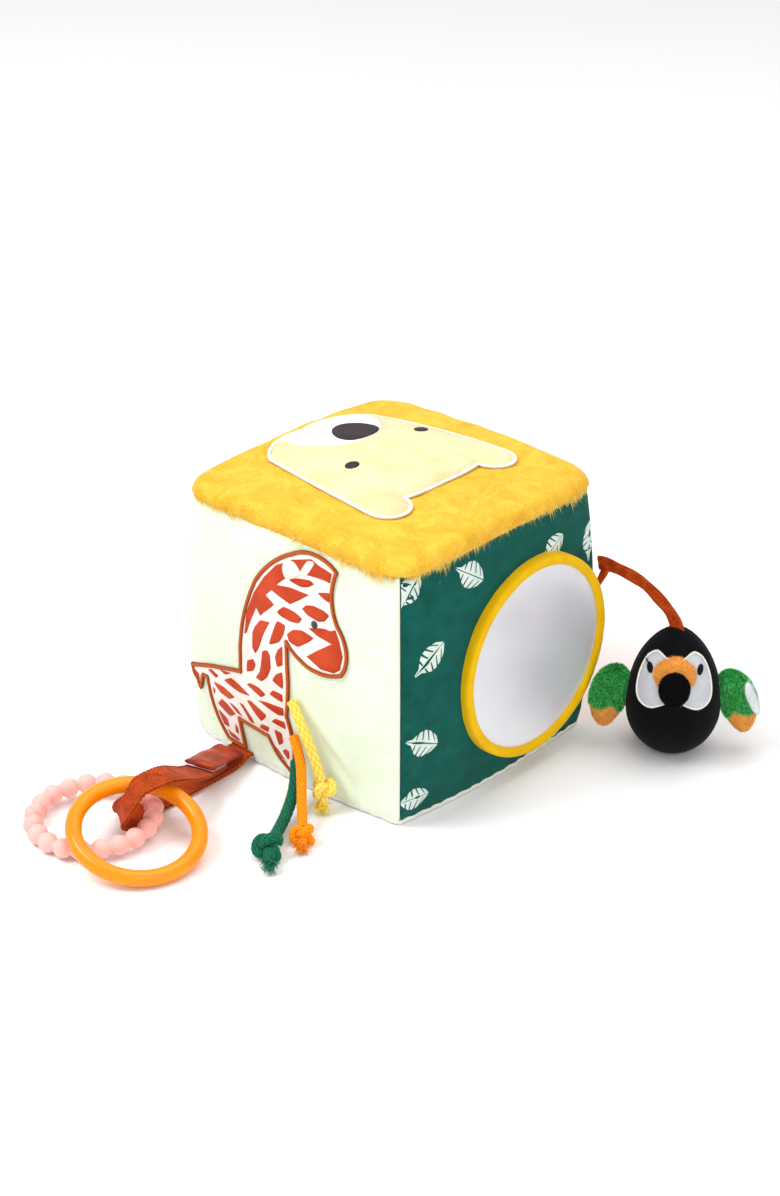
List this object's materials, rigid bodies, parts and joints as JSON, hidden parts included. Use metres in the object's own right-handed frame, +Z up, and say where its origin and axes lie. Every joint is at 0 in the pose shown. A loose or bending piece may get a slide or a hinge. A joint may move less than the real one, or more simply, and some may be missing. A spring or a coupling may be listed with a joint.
{
  "type": "baby activity cube",
  "caption": "Soft plush baby activity cube with a padded lion face, giraffe appliqué, safety mirror, knotted cords, teething rings on a strap and a hanging toucan.",
  "frame": {"origin": "centre of the cube's flat base", "axes": "+Z up; the giraffe face looks along -Y, the mirror face along +X and the lion face along +Z"},
  "size_m": [0.2422, 0.3324, 0.1615],
  "materials": {
    "fur": "matte",
    "mint_velour": "matte",
    "leaf_print": "matte",
    "back_fabric": "matte",
    "base_fabric": "matte",
    "filling": "matte",
    "lion_satin": "satin",
    "white_edging": "matte",
    "giraffe_satin": "satin",
    "brown_thread": "satin",
    "mirror": "gloss",
    "mirror_foam": "matte",
    "yellow_ring_fabric": "matte",
    "rattle_plastic": "matte",
    "rattle_ball": "gloss",
    "rust_velvet": "matte",
    "rust_satin": "satin",
    "white_tape": "matte",
    "orange_silicone": "satin",
    "pink_silicone": "satin",
    "yellow_braid": "matte",
    "orange_braid": "matte",
    "green_braid": "matte",
    "black_velour": "matte",
    "grey_felt": "matte",
    "orange_plush": "matte",
    "black_plush": "matte",
    "black_thread": "satin",
    "green_plush": "matte",
    "white_plush": "matte"
  },
  "bodies": {
    "root": {"filling_core": "filling", "top_fur_panel": "fur", "giraffe_panel": "mint_velour", "mirror_panel": "leaf_print", "left_leaf_panel": "leaf_print", "back_panel": "back_fabric", "base_panel": "base_fabric", "lion_face_pad": "lion_satin", "lion_face_edging": "white_edging", "giraffe_applique": "giraffe_satin", "giraffe_stitching": "brown_thread", "mirror_backing": "mirror_foam", "mirror_disc": "mirror", "mirror_ring": "yellow_ring_fabric", "rattle_shell_upper": "rattle_plastic", "rattle_shell_lower": "rattle_plastic", "strap_seam_tab": "rust_velvet"},
    "rattle_ball": {"rattle_ball": "rattle_ball"},
    "strap": {"ring_strap": "rust_velvet", "loop_tape": "white_tape"},
    "flap": {"strap_flap": "rust_satin", "hook_tape": "white_tape"},
    "orange_ring": {"orange_ring": "orange_silicone"},
    "bead_ring": {"bead_ring": "pink_silicone"},
    "ribbon": {"toucan_ribbon": "rust_velvet"},
    "toucan": {"toucan_body": "black_velour", "toucan_filling": "filling", "toucan_face_patch": "grey_felt", "toucan_beak": "orange_plush", "toucan_beak_tip": "black_plush", "toucan_left_eye": "black_thread", "toucan_right_eye": "black_thread"},
    "left_wing": {"left_wing": "green_plush", "left_wing_tip": "orange_plush"},
    "right_wing": {"right_wing": "green_plush", "right_wing_tip": "orange_plush", "right_wing_patch": "white_plush"},
    "yellow_cord": {"yellow_cord": "yellow_braid", "yellow_knot": "yellow_braid"},
    "orange_cord": {"orange_cord": "orange_braid", "orange_knot": "orange_braid"},
    "green_cord": {"green_cord": "green_braid", "green_knot": "green_braid"}
  },
  "joints": [
    {"name": "strap_lift", "type": "hinge", "parent": "root", "child": "strap", "pos_m": [-0.036, -0.0795, 0.0046], "axis": [-1, 0, 0], "range_deg": [0, 50]},
    {"name": "flap_open", "type": "hinge", "parent": "strap", "child": "flap", "pos_m": [-0.036, -0.0845, 0.0084], "axis": [1, 0, 0], "range_deg": [-75, 0]},
    {"name": "orange_ring_swing", "type": "hinge", "parent": "strap", "child": "orange_ring", "pos_m": [-0.02135, -0.14991, 0.02046], "axis": [-0.8542, -0.4799, 0.2001], "range_deg": [0, 60]},
    {"name": "bead_ring_turn", "type": "hinge", "parent": "strap", "child": "bead_ring", "pos_m": [-0.042, -0.175, 0.00669], "axis": [0, -0.0523, 0.9986], "continuous": true},
    {"name": "toucan_swing", "type": "hinge", "parent": "root", "child": "ribbon", "pos_m": [0.0782, 0.0782, 0.09], "axis": [0, 0, 1], "range_deg": [0, 110]},
    {"name": "toucan_tilt", "type": "hinge", "parent": "ribbon", "child": "toucan", "pos_m": [0.12023, 0.08451, 0.0698], "axis": [-0.1484, 0.9889, 0], "range_deg": [-30, 0]},
    {"name": "left_wing_flap", "type": "hinge", "parent": "toucan", "child": "left_wing", "pos_m": [0.10359, 0.06676, 0.029], "axis": [0, 0, 1], "range_deg": [0, 25]},
    {"name": "right_wing_flap", "type": "hinge", "parent": "toucan", "child": "right_wing", "pos_m": [0.14341, 0.10324, 0.029], "axis": [0, 0, -1], "range_deg": [0, 25]},
    {"name": "yellow_cord_swing", "type": "hinge", "parent": "root", "child": "yellow_cord", "pos_m": [0.009, -0.084, 0.0545], "axis": [0, -1, 0], "range_deg": [0, 75]},
    {"name": "orange_cord_lift", "type": "hinge", "parent": "root", "child": "orange_cord", "pos_m": [0.009, -0.083, 0.033], "axis": [-1, 0, 0], "range_deg": [0, 45]},
    {"name": "green_cord_lift", "type": "hinge", "parent": "root", "child": "green_cord", "pos_m": [0.01, -0.0825, 0.0185], "axis": [-1, 0, 0], "range_deg": [0, 15]},
    {"name": "rattle_ball_roll", "type": "hinge", "parent": "root", "child": "rattle_ball", "pos_m": [0, 0, 0.075], "axis": [0, 1, 0], "range_deg": [-60, 60]}
  ]
}
